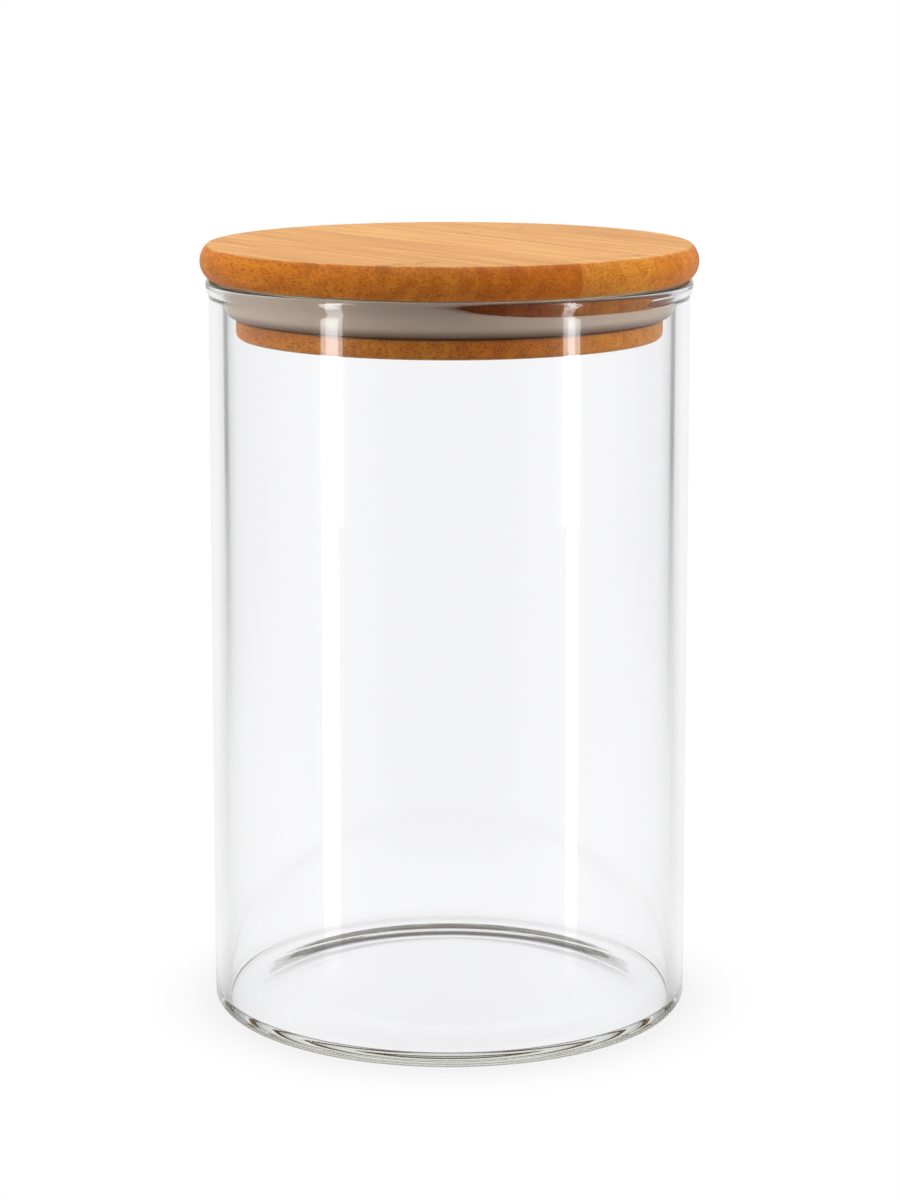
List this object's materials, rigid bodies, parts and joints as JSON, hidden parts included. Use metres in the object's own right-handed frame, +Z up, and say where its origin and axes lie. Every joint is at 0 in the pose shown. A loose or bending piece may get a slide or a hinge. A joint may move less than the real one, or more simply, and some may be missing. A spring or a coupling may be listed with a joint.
{
  "type": "glass storage jar",
  "caption": "Straight-walled round glass jar with a flat bamboo lid, whose plug pushes into the mouth and is sealed by a flared silicone lip ring.",
  "frame": {"origin": "centre of the ring that the jar stands on", "axes": "+Z up along the jar's axis, towards the lid; -Y towards the front"},
  "size_m": [0.1036, 0.1036, 0.1611],
  "materials": {
    "glass": "clear borosilicate, fire-polished",
    "bamboo": "laminated bamboo, turned, sanded and oiled, satin",
    "silicone": "translucent moulded silicone, satin"
  },
  "bodies": {
    "jar": {"glass_jar": "glass"},
    "seal": {"seal_ring": "silicone"},
    "lid": {"lid_disc": "bamboo", "lid_plug": "bamboo"}
  },
  "joints": [
    {"name": "lid_lift", "type": "slide", "parent": "jar", "child": "seal", "axis": [0, 0, 1], "range_m": [0, 0.1]},
    {"name": "lid_turn", "type": "hinge", "parent": "seal", "child": "lid", "pos_m": [0, 0, 0.154], "axis": [0, 0, 1], "continuous": true}
  ]
}
